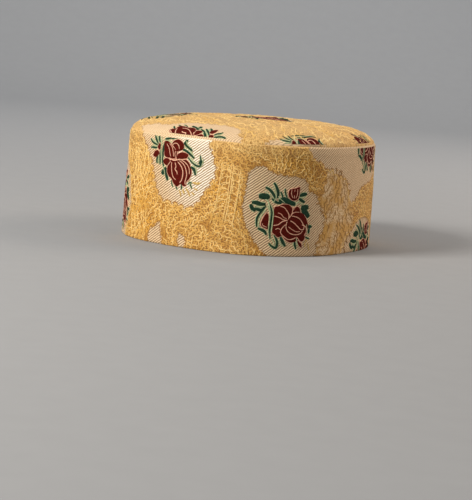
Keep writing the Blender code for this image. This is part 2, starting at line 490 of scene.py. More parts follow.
# Cream fields in the gold, on the band's flat cloth
TALL_FIELD = ((-44, 80), (-42, 75), (-39, 71), (-35, 66.5), (-31, 61), (-28, 56), (-25.5, 50), (-24, 45),
              (-22, 40), (-19, 35), (-15, 31), (-10, 30), (-3, 29.5), (3, 28.5), (8, 27), (13, 30),
              (17, 34.5), (20, 39.5), (23.5, 45), (26.5, 51), (27, 56), (26, 61), (24.5, 66), (22, 71),
              (21, 76), (22, 82), (16, 90), (2, 94), (-14, 93), (-30, 90))
ROUND_FIELD = ((66, 0), (62, 4), (57, 10), (54, 15), (51, 20), (49, 27), (48, 33), (49, 40), (50, 47),
               (50, 54), (53, 59), (57, 61.5), (61.5, 61.5), (66, 58.5), (72, 56.5), (80, 55.5), (88, 55),
               (95, 52), (98, 45), (104, 43), (108, 37), (112, 31), (115, 25), (114, 18), (110, 11),
               (108, 4), (108, -2), (100, -8), (85, -10), (72, -6))
FAR_FIELD = ((98, 80), (101, 68), (108, 66), (113, 61), (120, 61), (126, 57), (132, 56), (138, 54),
             (142, 50), (145, 44), (147, 38), (151, 36), (156, 37), (161, 41), (167, 46), (176, 48),
             (188, 50), (198, 55), (205, 63), (207, 72), (205, 84), (150, 88))
FAR_LOW_FIELD = ((142, -6), (143, 5), (148, 11), (154, 15), (158, 18), (166, 22), (176, 23), (186, 21),
                 (196, 16), (203, 8), (204, -6))
NEAR_FIELD = ((-112, 20), (-108, 48), (-88, 58), (-66, 52), (-57, 42), (-54, 32), (-52, 22), (-55, 12),
              (-58, 3), (-62, -6), (-100, -10))
LOW_FIELD = ((-25, 4), (-24, 8), (-20, 10), (-17, 14), (-14.5, 13), (-14, 8), (-12.5, 3), (-13, -3),
             (-24, -3))
TINY_FIELD = ((2, 8), (6, 7), (8, 3.5), (6, -2), (3, -2))
LACE_FIELD = ((110, -4), (112, 12), (116, 20), (115, 28), (110, 33), (108, 40), (112, 47), (114, 55),
              (116, 60), (122, 61), (130, 58), (138, 55), (143, 49), (146, 42), (148, 36), (152, 33),
              (155, 26), (155, 18), (147, 10), (143, 4), (141, -4))

# Where the roses lie round the band, in the cloth's half-drop repeat, and each field's shift and lobes
TALL_SHIFTS = ((0, 0), (254, -15), (-176, -20))
ROUND_SHIFTS = ((0, 0), (97, 52), (98.5, -29), (-156, -2), (-337, 46), (-337, -29))
FIELD_SHIFTS = ((TALL_FIELD, (0, 0), 1), (TALL_FIELD, (254, -15), 1), (TALL_FIELD, (-176, -20), 1),
                (ROUND_FIELD, (0, 0), 0.4), (ROUND_FIELD, (-337, 46), 0.4), (ROUND_FIELD, (-337, -29), 0.4),
                (FAR_FIELD, (0, 0), 0.8), (FAR_LOW_FIELD, (0, 0), 0.8), (NEAR_FIELD, (0, 0), 1),
                (LOW_FIELD, (0, 0), 0.4), (TINY_FIELD, (0, 0), 0.4), (LOW_FIELD, (254, 0), 0.4),
                (LOW_FIELD, (-176, 0), 0.4))
LACE_SHIFTS = ((0, 0), (-232, 0), (-330, 8))
PALEST = (18, 57)          # where a tall field is palest
PALEST_REACH = 27
SEAM_HIGHLIGHT_AND_WEAR = 0.6             # how far the gold is paled along the seam, and on the crown, from 0 to 1; along the seam it is painted highlight on the rolled top edge, where the cloth turns up to the light, and wear
# the crown's gold is paled all over by this share
CROWN_PALING = 0.45

# The crown's roses: which, its middle, its turn on the cloth in degrees, and its cream field's half sizes
CROWN_ROSES = (
    ("tall", (-52, -84), 190, None),
    ("tall", (47, -91), 28, None),
    ("round", (93, -25), 240, (16, 11)),
    ("round", (-67, 0), 95, (19, 15)),
    ("round", (5, 12), 0, (22, 17)),
    ("tall", (-40, 76), 0, (24, 24)),
    ("tall", (62, 58), 0, (22, 24)),
)
CROWN_LEFT_FIELD = ((-84, -46), (-78, -50), (-70, -56), (-64, -60), (-57, -61), (-50, -62), (-42, -64),
                    (-34, -67), (-26, -70), (-19, -75), (-14, -80), (-12, -86), (-13, -91), (-11, -97),
                    (-13, -103), (-40, -104), (-64, -92), (-84, -66))
CROWN_RIGHT_FIELD = ((5, -101), (9, -95), (15, -91), (22, -88), (29, -84), (37, -80), (46, -76),
                     (55, -72), (62, -78), (40, -100), (20, -106))

# Raised cords on the gold: ladders right of each tall rose and wavy strands left of it
LADDER_RAILS = (((31.6, 60), (31, 50), (29.8, 38), (28.4, 28), (26, 18)),
                ((38.4, 60), (37.8, 48), (36.8, 34), (35, 20)),
                ((40, 59.6), (39.4, 48), (38.4, 34), (36.6, 20)),
                ((45, 59), (44.6, 46), (43.6, 32), (42, 19)))
RUNG_PITCH = 4.1
STRAND_STARTS = (-31, -35.5, -39.5, -43.5, -47.5)

# Both roses' charts, and the middles that they turn about
ROSES = {
    "tall": {"middle": TALL_MIDDLE, "petals": TALL_PETALS, "veins": TALL_VEINS, "leaves": TALL_LEAVES,
             "leaf_veins": TALL_LEAF_VEINS, "sprigs": TALL_SPRIGS},
    "round": {"middle": ROUND_MIDDLE, "petals": ROUND_PETALS, "veins": ROUND_VEINS, "leaves": ROUND_LEAVES,
              "leaf_veins": ROUND_LEAF_VEINS, "sprigs": ROUND_SPRIGS},
}

# The pieces of the roses, one for each floss: its name, its finish, and what is drawn with it
ROSE_PARTS = (
    ("petals", "petal", ("petals",)),
    ("petal_lines", "pink", ("edgings", "veins")),
    ("leaves", "leaf", ("leaves",)),
    ("leaf_lines", "pale", ("halos", "leaf_veins")),
    ("sprigs", "sprig", ("sprigs",)),
)


def shifted(points, shift):
    return [(x + shift[0], y + shift[1]) for x, y in points]


def bend_through(before, a, b, after, share):
    """A point between a and b on the smooth line through all four."""
    out = []
    for p, q, r, s in zip(before, a, b, after):
        out.append(0.5 * (2 * q + (r - p) * share + (2 * p - 5 * q + 4 * r - s) * share ** 2
                          + (3 * q - p - 3 * r + s) * share ** 3))
    return tuple(out)


def smooth_line(points, steps):
    ends = [points[0]] + list(points) + [points[-1]]
    line = []
    for i in range(len(points) - 1):
        line += [bend_through(*ends[i:i + 4], step / steps) for step in range(steps)]
    return line + [tuple(points[-1])]


def smooth_loop(points, steps):
    n = len(points)
    loop = []
    for i in range(n):
        four = [points[(i + k) % n] for k in (-1, 0, 1, 2)]
        loop += [bend_through(*four, step / steps) for step in range(steps)]
    return loop


def swollen(points, by):
    """A closed outline moved outwards, in millimetres."""
    area = sum(a[0] * b[1] - a[1] * b[0] for a, b in zip(points, points[1:] + points[:1]))
    out = []
    for i, (x, y) in enumerate(points):
        ahead = points[(i + 1) % len(points)]
        behind = points[i - 1]
        dx = ahead[0] - behind[0]
        dy = ahead[1] - behind[1]
        push = math.copysign(by, area) / (math.hypot(dx, dy) or 1)
        out.append((x + dy * push, y - dx * push))
    return out


def scalloped(points, seed, lobed=1.0):
    """A closed outline that the gold runs into in uneven round lobes, as figured satin does."""
    draw = random.Random(seed)
    loop = smooth_loop(points, 12)
    area = sum(a[0] * b[1] - a[1] * b[0] for a, b in zip(loop, loop[1:] + loop[:1]))
    inward = math.copysign(1, area)
    out = []
    run = 0.0
    pitch = draw.uniform(*LOBE_WIDTHS)
    for i, (x, y) in enumerate(loop):
        ahead = loop[(i + 1) % len(loop)]
        behind = loop[i - 1]
        dx = ahead[0] - behind[0]
        dy = ahead[1] - behind[1]
        length = math.hypot(dx, dy) or 1
        if run > pitch:
            run = 0.0
            pitch = draw.uniform(*LOBE_WIDTHS)
        bulge = math.sqrt(max(1 - (2 * run / pitch - 1) ** 2, 0))
        lobe = inward * pitch * LOBE_DEPTH * lobed * (bulge - 0.6)
        out.append((x - dy / length * lobe, y + dx / length * lobe))
        run += math.hypot(ahead[0] - x, ahead[1] - y)
    return out


def depth_inside(points, outlines):
    """How far flat points are inside the nearest outline, in millimetres, negative outside, as an array."""
    points = np.array(points, dtype=float)
    best = np.full(len(points), -FIELD_REACH)
    for outline in outlines:
        a = np.array(outline)
        b = np.roll(a, -1, axis=0)
        near = np.all((points > a.min(0) - FIELD_REACH) & (points < a.max(0) + FIELD_REACH), axis=1)
        p = points[near][:, None, :]
        if len(p) == 0:
            continue
        along = b - a
        share = ((p - a) * along).sum(-1) / np.maximum((along * along).sum(-1), 1e-9)
        foot = a + np.clip(share, 0, 1)[..., None] * along
        gap = np.sqrt(((p - foot) ** 2).sum(-1)).min(1)
        crosses = (a[:, 1] > p[..., 1]) != (b[:, 1] > p[..., 1])
        rise = np.where(along[:, 1] == 0, 1e-9, along[:, 1])
        at = a[:, 0] + (p[..., 1] - a[:, 1]) / rise * along[:, 0]
        inside = (crosses & (p[..., 0] < at)).sum(1) % 2 == 1
        best[near] = np.maximum(best[near], np.where(inside, gap, -gap))
    return best


def flat_slab(bm, outline, lift, shoulder):
    """A closed pillow over a closed outline on the flat cloth."""
    verts = [bm.verts.new((x, y, -SUNK)) for x, y in outline]
    base = bm.faces.new(verts)
    raised = bmesh.ops.extrude_face_region(bm, geom=[base])["geom"]
    top = [item for item in raised if isinstance(item, bmesh.types.BMFace)]
    lifted = [item for item in raised if isinstance(item, bmesh.types.BMVert)]
    bmesh.ops.translate(bm, verts=lifted, vec=(0, 0, SUNK + lift * 0.45))
    bmesh.ops.inset_region(bm, faces=top, thickness=shoulder, use_even_offset=False)
    crest = {vert for face in top for vert in face.verts}
    bmesh.ops.translate(bm, verts=list(crest), vec=(0, 0, lift * 0.55))


def cut_fine(bm):
    """Cuts a flat figure on a square grid, so that it bends with the cap."""
    for axis in (0, 1):
        across = Vector((1, 0, 0)) if axis == 0 else Vector((0, 1, 0))
        values = [vert.co[axis] for vert in bm.verts]
        line = math.ceil(min(values) / SLAB_STEP) * SLAB_STEP
        while line < max(values):
            bmesh.ops.bisect_plane(bm, geom=bm.verts[:] + bm.edges[:] + bm.faces[:], plane_co=across * line,
                                   plane_no=across)
            line += SLAB_STEP


def flat_cord(bm, points, width, lift, blunt=0.45, leafy=False):
    """A closed flat-topped cord along a line on the flat cloth, its ends drawn in to blunt of its width. A
    leafy one swells along its whole length."""
    rows = []
    n = len(points)
    for i, (x, y) in enumerate(points):
        ahead = points[min(i + 1, n - 1)]
        behind = points[max(i - 1, 0)]
        dx = ahead[0] - behind[0]
        dy = ahead[1] - behind[1]
        length = math.hypot(dx, dy) or 1
        swell = math.sin(math.pi / 2 * min((min(i, n - 1 - i) + 0.4) / TAPER_POINTS, 1))
        if leafy:
            swell = math.sin(math.pi * (i + 0.7) / (n + 0.4)) ** 0.7 * LEAF_BULGE
        half = width / 2 * (blunt + (1 - blunt) * swell)
        crest = half * CREST
        rise = lift * (0.7 + 0.3 * swell)
        rows.append([bm.verts.new((x - dy / length * side, y + dx / length * side, up))
                     for side, up in ((half, -SUNK), (crest, rise), (-crest, rise), (-half, -SUNK))])
    for a, b in zip(rows, rows[1:]):
        for k in range(4):
            bm.faces.new((a[k], a[(k + 1) % 4], b[(k + 1) % 4], b[k]))
    bm.faces.new(rows[0])
    bm.faces.new(rows[-1][::-1])


def clip(bm, point, outward):
    """Cuts off what lies outward of a plane through a point, and closes the cut."""
    cut = bmesh.ops.bisect_plane(bm, geom=bm.verts[:] + bm.edges[:] + bm.faces[:], plane_co=point,
                                 plane_no=outward, clear_outer=True)["geom_cut"]
    edges = [item for item in cut if isinstance(item, bmesh.types.BMEdge) and item.is_boundary]
    if edges:
        bmesh.ops.holes_fill(bm, edges=edges, sides=0)


def clip_to_band(bm):
    clip(bm, (0, 0.4 - CLOTH_RISE, 0), (0, -1, 0))
    clip(bm, (0, BAND_HEIGHT / MM - 0.5 - CLOTH_RISE, 0), (0, 1, 0))


def clip_to_crown(bm):
    """Cuts a flat figure off where the crown's cloth turns in at the seam."""
    steps = 72
    for i in range(steps):
        turn = math.tau * i / steps
        edge = oval_point(turn) * CROWN_REACH
        ahead = oval_normal(turn)
        place = crown_cloth_place(edge.x, edge.y)
        outward = crown_cloth_place(ahead.x, ahead.y)
        if max((vert.co.x - place[0]) * outward[0] + (vert.co.y - place[1]) * outward[1]
               for vert in bm.verts) > 0:
            clip(bm, (place[0], place[1], 0), (outward[0], outward[1], 0))
        if not bm.verts:
            return


def add_piece(name, bm, materials):
    """Turns a bmesh into a piece that rides on the cap's body."""
    mesh = bpy.data.meshes.new(name)
    bm.to_mesh(mesh)
    bm.free()
    for finish in materials:
        mesh.materials.append(finish)
    mesh.shade_smooth()
    piece = bpy.data.objects.new(name, mesh)
    bpy.context.scene.collection.objects.link(piece)
    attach(piece, BODY)
    return piece


def lay_on_cap(name, bm, place, finish):
    """Keeps the flat places as the piece's UV map, in millimetres, and lays the figure on the cap."""
    bmesh.ops.triangulate(bm, faces=[face for face in bm.faces if len(face.verts) > 4])
    bmesh.ops.recalc_face_normals(bm, faces=bm.faces)
    cloth = bm.loops.layers.uv.new("cloth")
    for face in bm.faces:
        for loop in face.loops:
            loop[cloth].uv = loop.vert.co.xy
    for vert in bm.verts:
        vert.co = place(*vert.co)
    bmesh.ops.recalc_face_normals(bm, faces=bm.faces)
    piece = add_piece(name, bm, [finish])
    piece.data.set_sharp_from_angle(angle=SHARP_EDGE)


def ground_test(low, high, keep):
    """Says quickly whether a flat point is on a ground. keep is asked once for each millimetre."""
    columns = int(high[0] - low[0]) + 1
    rows = int(high[1] - low[1]) + 1
    points = [(low[0] + column, low[1] + row) for row in range(rows) for column in range(columns)]
    table = np.array(keep(points)).reshape(rows, columns)

    def on_ground(x, y):
        column = round(x - low[0])
        row = round(y - low[1])
        return 0 <= column < columns and 0 <= row < rows and table[row, column]

    return on_ground


def wandering_lines(low, high, on_ground, lean, gap, seed):
    """Lines that wander over a ground, put out twigs and end where they meet another, as worm tracks do."""
    draw = random.Random(seed)
    taken = {}
    lines = []

    def crowded(x, y, reach, own):
        column = int(x // gap)
        row = int(y // gap)
        for i in (column - 1, column, column + 1):
            for j in (row - 1, row, row + 1):
                for px, py, line in taken.get((i, j), ()):
                    if line != own and (px - x) ** 2 + (py - y) ** 2 < reach * reach:
                        return True
        return False

    def grow(line, turn, steps, phase, own):
        x, y = line[-1]
        for step in range(steps):
            swing = math.sin(phase + math.tau * step * VEIN_STEP / VEIN_WAVE)
            angle = lean(x, y) + turn + VEIN_WOBBLE * swing
            x += VEIN_STEP * math.cos(angle)
            y += VEIN_STEP * math.sin(angle)
            if not on_ground(x, y):
                return
            line.append((x, y))
            if crowded(x, y, gap * 0.42, own):
                return

    def settle(line, own):
        if len(line) > 2:
            for x, y in line:
                taken.setdefault((int(x // gap), int(y // gap)), []).append((x, y, own))
            lines.append(line)

    columns = int((high[0] - low[0]) / gap * 1.3)
    rows = int((high[1] - low[1]) / gap * 1.3)
    starts = [(low[0] + (column + draw.random()) * gap / 1.3, low[1] + (row + draw.random()) * gap / 1.3)
              for column in range(columns) for row in range(rows)]
    draw.shuffle(starts)
    for own, (x, y) in enumerate(starts):
        if not on_ground(x, y) or crowded(x, y, gap * 0.8, None):
            continue
        line = [(x, y)]
        phase = draw.uniform(0, math.tau)
        grow(line, 0, draw.randint(8, 34), phase, own)
        line.reverse()
        grow(line, math.pi, draw.randint(8, 34), -phase, own)
        settle(line, own)
        for i in range(draw.randint(2, 6), len(line) - 2, 6):
            twig = [line[i]]
            grow(twig, draw.choice((-1, 1)) * draw.uniform(0.8, 1.3), draw.randint(3, 6), phase, own)
            settle(twig, own)
    return lines


def band_lean(x, y):
    """The way the band's veins run, which drifts about upright."""
    drift = noise.noise(Vector((x * 0.022, y * 0.022, 1.3))) * 2.4
    drift += noise.noise(Vector((x * 0.08, y * 0.08, 7.7))) * 1.1
    return math.pi / 2 + drift


def crown_lean(x, y):
    return band_lean(x + CROWN_WAVE, y) - math.pi / 2


def band_fields():
    fields = [scalloped(shifted(field, shift), index, lobed)
              for index, (field, shift, lobed) in enumerate(FIELD_SHIFTS)]
    lace = [scalloped(shifted(LACE_FIELD, shift), 50 + index) for index, shift in enumerate(LACE_SHIFTS)]
    return fields, lace


def about(points, middle, to, turn):
    """Moves points of a rose's chart so that its middle comes to another place, turned by degrees."""
    c = math.cos(math.radians(turn))
    s = math.sin(math.radians(turn))
    out = []
    for x, y in points:
        dx = x - middle[0]
        dy = y - middle[1]
        out.append((to[0] + dx * c - dy * s, to[1] + dx * s + dy * c))
    return out


def crown_fields():
    fields = [scalloped(CROWN_LEFT_FIELD, 30), scalloped(CROWN_RIGHT_FIELD, 31)]
    for index, (_, middle, turn, size) in enumerate(CROWN_ROSES):
        if size:
            oval = [(size[0] * math.cos(math.tau * i / 14), size[1] * math.sin(math.tau * i / 14))
                    for i in range(14)]
            fields.append(scalloped(about(oval, (0, 0), middle, turn), 32 + index))
    return fields


def spun_cloth(name, profile, closed, place, flat_place, attributes, materials, is_inside):
    """A wall of cloth turned round Z from a profile of (radius, height), then laid on the cap."""
    bm = bmesh.new()
    points = [bm.verts.new((radius, 0, height)) for radius, height in profile]
    pairs = list(zip(points, points[1:]))
    if closed:
        pairs.append((points[-1], points[0]))
    edges = [bm.edges.new(pair) for pair in pairs]
    bmesh.ops.spin(bm, geom=points + edges, cent=(0, 0, 0), axis=(0, 0, 1), angle=math.tau,
                   steps=STEPS_AROUND, use_merge=True)
    bmesh.ops.remove_doubles(bm, verts=bm.verts, dist=1e-6)
    bmesh.ops.dissolve_degenerate(bm, edges=bm.edges, dist=1e-7)
    bm.verts.index_update()
    flat = []
    inside = []
    for vert in bm.verts:
        turn = math.atan2(vert.co.y, vert.co.x)
        radius = math.hypot(vert.co.x, vert.co.y)
        flat.append(flat_place(turn, radius, vert.co.z))
        inside.append(is_inside(radius, vert.co.z))
    layers = attributes(flat)
    for attribute, values in layers.items():
        layer = bm.verts.layers.float.new(attribute)
        for vert in bm.verts:
            vert[layer] = values[vert.index]
    cloth = bm.loops.layers.uv.new("cloth")
    for face in bm.faces:
        face.material_index = 1 if all(inside[vert.index] for vert in face.verts) else 0
        first = flat[face.verts[0].index][0]
        for loop in face.loops:
            along, up = flat[loop.vert.index]
            if name == "band_cloth":
                along += GIRTH * round((first - along) / GIRTH)
            loop[cloth].uv = (along, up)
    for vert in bm.verts:
        turn = math.atan2(vert.co.y, vert.co.x)
        radius = math.hypot(vert.co.x, vert.co.y)
        lift = 0 if inside[vert.index] else GOLD_LIFT * layers["gold"][vert.index]
        vert.co = place(turn, radius, vert.co.z, lift, flat[vert.index])
    bmesh.ops.recalc_face_normals(bm, faces=bm.faces)
    return add_piece(name, bm, materials)


def soft_step(depth, width):
    """From 0 outside a field to 1 inside it, over a width in millimetres."""
    share = min(max(depth / width + 0.5, 0), 1)
    return share * share * (3 - 2 * share)


def arc(inset, z, radius, start, steps, first=1):
    """Points of a quarter turn, clockwise from start in degrees, as (inset, height)."""
    turns = [math.radians(start - 90 * k / steps) for k in range(first, steps + 1)]
    return [(inset + radius * math.cos(turn), z + radius * math.sin(turn)) for turn in turns]


def rounded_wall(high, wall, rows, edge, roll):
    """A closed profile of (inset, height): up the outside, over the rolled top, down inside and under."""
    out = [(0.0, edge + (high - roll - edge) * row / rows) for row in range(rows + 1)]
    out += arc(roll, high - roll, roll, 180, 3 * EDGE_STEPS)
    inner = wall - roll
    out += arc(wall - inner, high - inner, inner, 90, EDGE_STEPS)
    drop = high - inner - edge
    out += [(wall, high - inner - drop * row / INSIDE_ROWS) for row in range(1, INSIDE_ROWS + 1)]
    out += arc(wall - edge, edge, edge, 0, EDGE_STEPS)
    return out + arc(edge, edge, edge, -90, EDGE_STEPS)[:-1]


def crown_profile():
    """The crown's cloth, from its middle out over the shoulder, round its turned edge and back inside."""
    wall = WALL / MEAN_RADIUS
    edge = CROWN_EDGE / MEAN_RADIUS
    rings = [math.sin(math.pi / 2 * row / CROWN_ROWS) for row in range(CROWN_ROWS + 1)]
    top = CROWN_FOOT + CROWN_TURN_UP
    out = [(ring, top + dome_height(ring)) for ring in rings]
    for k in range(EDGE_STEPS + 1):
        turn = math.radians(90 * k / EDGE_STEPS)
        out.append((1 - edge + edge * math.cos(turn), CROWN_FOOT + CROWN_EDGE - CROWN_EDGE * math.sin(turn)))
    out.append((1 - wall + edge / 2, CROWN_FOOT))
    out.append((1 - wall, CROWN_FOOT + CROWN_EDGE / 2))
    for row in range(INSIDE_ROWS, -1, -1):
        ring = math.sin(math.pi / 2 * row / INSIDE_ROWS)
        out.append((ring * (1 - wall), top + dome_height(ring) - WALL * (1 - 0.7 * ring ** 8)))
    return out


def crown_normal(turn, ring, z):
    """Square to the crown's cloth."""
    out = oval_normal(turn)
    if z < CROWN_FOOT + CROWN_TURN_UP:
        return out
    step = 0.002
    drop = dome_height(max(ring - step, 0)) - dome_height(min(ring + step, 1))
    return (out * drop / (2 * step * MEAN_RADIUS) + Vector((0, 0, 1))).normalized()


def new_material(name):
    made = bpy.data.materials.new(name)
    made.use_nodes = True
    made.node_tree.nodes.clear()
    return made


def add_node(tree, kind, sockets=None, **settings):
    """A node with its settings. A socket that is given another node's socket is linked to it."""
    made = tree.nodes.new(kind)
    for name, value in settings.items():
        setattr(made, name, value)
    for name, value in (sockets or {}).items():
        if isinstance(value, bpy.types.NodeSocket):
            tree.links.new(value, made.inputs[name])
        else:
            made.inputs[name].default_value = value
    return made


def blend(tree, share, first, second):
    """The colour between two others."""
    mixed = add_node(tree, "ShaderNodeMix", {0: share, 6: first, 7: second}, data_type="RGBA")
    return mixed.outputs[2]


def between(tree, value, low, high):
    """0 below low and 1 above high, smooth between them."""
    made = add_node(tree, "ShaderNodeMapRange", {"Value": value, "From Min": low, "From Max": high},
                    interpolation_type="SMOOTHSTEP")
    return made.outputs["Result"]


def ranged(tree, value, low, high):
    """A value from 0 to 1, spread from low to high."""
    made = add_node(tree, "ShaderNodeMapRange", {"Value": value, "To Min": low, "To Max": high})
    return made.outputs["Result"]


def sum_of(tree, first, second, operation="ADD"):
    return add_node(tree, "ShaderNodeMath", {0: first, 1: second}, operation=operation).outputs[0]


def threads(tree, cloth, pitch, lean, unevenness):
    """Ridges that run at lean degrees up from the cloth's length, pitch millimetres apart, from -1 to 1."""
    lean = math.radians(lean)
    across = (-math.sin(lean) / pitch, math.cos(lean) / pitch, 0)
    run = add_node(tree, "ShaderNodeVectorMath", {0: cloth, 1: across}, operation="DOT_PRODUCT")
    sway = sum_of(tree, cloudy(tree, cloth, 0.35, 2.0), unevenness, "MULTIPLY")
    run = sum_of(tree, run.outputs["Value"], sway)
    return add_node(tree, "ShaderNodeMath", {0: sum_of(tree, run, math.tau, "MULTIPLY")},
                    operation="SINE").outputs[0]


def cloudy(tree, place, scale, detail):
    """Soft noise, with scale clouds in each unit of its place: a millimetre, on the flat cloth."""
    made = add_node(tree, "ShaderNodeTexNoise", {"Vector": place, "Scale": scale, "Detail": detail})
    return made.outputs["Fac"]


def painted(tree, name):
    """A value that the cloth's mesh carries at each point."""
    return add_node(tree, "ShaderNodeAttribute", attribute_name=name).outputs["Fac"]


def cloth_map(tree):
    return add_node(tree, "ShaderNodeUVMap", uv_map="cloth").outputs["UV"]


def rgba(colour):
    return (*colour, 1.0)


def brocade_ground(sizes, colours):
    """Figured satin of silk and cotton with a gold weft, jacquard woven: the gold ground has a fine speckled
    grain, and its cream fields show the bare twill as thin slanting lines. Satin gives it a soft sheen."""
    made = new_material("brocade_ground")
    tree = made.node_tree
    cloth = cloth_map(tree)
    fine = cloudy(tree, cloth, sizes.speckle, 2.0)
    patchy = cloudy(tree, cloth, 0.09, 2.0)
    blotchy = cloudy(tree, cloth, 0.22, 2.0)
    broad = cloudy(tree, cloth, 0.022, 1.0)
    twill = threads(tree, cloth, sizes.twill_pitch, sizes.twill_lean, 0.7)
    satin = threads(tree, cloth, sizes.satin_pitch, sizes.satin_lean, 0.8)

    fray = sum_of(tree, sum_of(tree, fine, 0.5, "SUBTRACT"), 6.0, "MULTIPLY")
    in_cream = between(tree, sum_of(tree, painted(tree, "cream"), fray), -0.35, 0.35)
    lace_fray = sum_of(tree, sum_of(tree, blotchy, 0.5, "SUBTRACT"), 14.0, "MULTIPLY")
    in_lace = between(tree, sum_of(tree, painted(tree, "lace"), lace_fray), -1.2, 1.2)
    # pale: the palest cream against warmer, darker cream, which is partly painted shade
    pale = painted(tree, "pale")
    rubbed = painted(tree, "rubbed")

    dyed = blend(tree, between(tree, broad, 0.48, 0.60), rgba(colours.gold), rgba(colours.gold_yellow))
    dyed = blend(tree, between(tree, patchy, 0.42, 0.70), dyed, rgba(colours.gold_warm))
    # where paled, the gold loses its deep specks and turns patchily to the pale gold: along the band's seam
    # this is painted highlight on the rolled edge, and wear; on the crown it pales the gold all over
    specks = blend(tree, sum_of(tree, rubbed, 0.6, "MULTIPLY"), rgba(colours.gold_deep), dyed)
    gold = blend(tree, between(tree, fine, 0.38, 0.58), specks, dyed)
    paled_through = sum_of(tree, rubbed, between(tree, fine, 0.3, 0.6), "MULTIPLY")
    gold = blend(tree, paled_through, gold, rgba(colours.worn))
    lace = blend(tree, between(tree, fine, 0.36, 0.6), rgba(colours.lace_deep), rgba(colours.lace))
    lace = blend(tree, between(tree, patchy, 0.40, 0.62), lace, rgba(colours.lace_warm))
    cream = blend(tree, pale, rgba(colours.cream_warm), rgba(colours.cream))
    line = blend(tree, pale, rgba(colours.twill_deep), rgba(colours.twill_line))
    lined = between(tree, sum_of(tree, twill, sum_of(tree, pale, 0.4, "MULTIPLY")), 0.0, 0.75)
    # the twill lines fade where the cloth is paled
    whole = sum_of(tree, 1.2, sum_of(tree, rubbed, 1.2, "MULTIPLY"), "SUBTRACT")
    cream = blend(tree, sum_of(tree, lined, whole, "MULTIPLY"), cream, line)
    colour = blend(tree, in_lace, gold, lace)
    colour = blend(tree, in_cream, colour, cream)

    grain = sum_of(tree, sum_of(tree, satin, 0.3, "MULTIPLY"), sum_of(tree, fine, 2.2, "MULTIPLY"))
    ridges = sum_of(tree, sum_of(tree, twill, whole, "MULTIPLY"), -0.4, "MULTIPLY")
    height = add_node(tree, "ShaderNodeMix", {0: in_cream, 2: grain, 3: ridges}).outputs[0]
    bump = add_node(tree, "ShaderNodeBump", {"Strength": 0.8, "Distance": 0.00035, "Height": height})
    rough = ranged(tree, fine, 0.5, 0.7)
    cloth_shader(tree, colour, rough, bump.outputs["Normal"], 0.05, 0.25)
    return made


def cloth_shader(tree, colour, rough, normal, sheen, shine):
    shader = add_node(tree, "ShaderNodeBsdfPrincipled",
                      {"Base Color": colour, "Roughness": rough, "Normal": normal, "Sheen Weight": sheen,
                       "Sheen Roughness": 0.45, "Specular IOR Level": shine})
    add_node(tree, "ShaderNodeOutputMaterial", {"Surface": shader.outputs["BSDF"]})


def floss(name, colour, dark, light, lean, shine=0.25, rough=0.5, faded=None):
    """Untwisted silk floss, woven in as an extra weft: close threads side by side, uneven in tone. Where the
    ground's weft covers it, it fades in patches."""
    made = new_material(name)
    tree = made.node_tree
    cloth = cloth_map(tree)
    ridge = threads(tree, cloth, FLOSS_PITCH, lean, 0.5)
    fine = cloudy(tree, cloth, 1.1, 3.0)
    tone = blend(tree, between(tree, fine, 0.38, 0.62), rgba(dark), rgba(colour))
    tone = blend(tree, between(tree, ridge, 0.1, 1.3), tone, rgba(light))
    if faded:
        tone = blend(tree, between(tree, cloudy(tree, cloth, 0.07, 3.0), 0.47, 0.66), tone, rgba(faded))
    height = sum_of(tree, ridge, sum_of(tree, fine, 0.8, "MULTIPLY"))
    bump = add_node(tree, "ShaderNodeBump", {"Strength": 0.6, "Distance": 0.00012, "Height": height})
    roughness = ranged(tree, fine, rough - 0.08, rough + 0.12)
    cloth_shader(tree, tone, roughness, bump.outputs["Normal"], 0.0, shine)
    return made


def backing(colours):
    """Plain-woven cotton, glued to the stiffening: a square weave, dull and a little slubby."""
    made = new_material("cotton_backing")
    tree = made.node_tree
    cloth = cloth_map(tree)
    warp = threads(tree, cloth, 0.9, 90, 0.3)
    weft = threads(tree, cloth, 0.9, 0, 0.3)
    woven = sum_of(tree, warp, weft, "MULTIPLY")
    slub = cloudy(tree, cloth, 0.25, 3.0)
    tone = blend(tree, between(tree, woven, -0.6, 0.6), rgba(colours.backing_deep), rgba(colours.backing))
    tone = blend(tree, between(tree, slub, 0.5, 0.75), tone, rgba(colours.backing_deep))
    bump = add_node(tree, "ShaderNodeBump", {"Strength": 0.5, "Distance": 0.0001, "Height": woven})
    rough = ranged(tree, slub, 0.8, 0.95)
    cloth_shader(tree, tone, rough, bump.outputs["Normal"], 0.1, 0.2)
    return made


def studio_paper(colours):
    """Matt seamless paper, with the faintest tooth."""
    made = new_material("studio_paper")
    tree = made.node_tree
    place = add_node(tree, "ShaderNodeTexCoord").outputs["Object"]
    tooth = cloudy(tree, place, 60.0, 2.0)
    tone = blend(tree, tooth, rgba(colours.paper), rgba(colours.paper_light))
    shader = add_node(tree, "ShaderNodeBsdfPrincipled",
                      {"Base Color": tone, "Roughness": 0.95, "Specular IOR Level": 0.1})
    add_node(tree, "ShaderNodeOutputMaterial", {"Surface": shader.outputs["BSDF"]})
    return made


def colour_prop(name, description, hex_colour):
    return bpy.props.FloatVectorProperty(name=name, description=description, subtype="COLOR", size=3, min=0,
                                         max=1, default=linear(hex_colour))


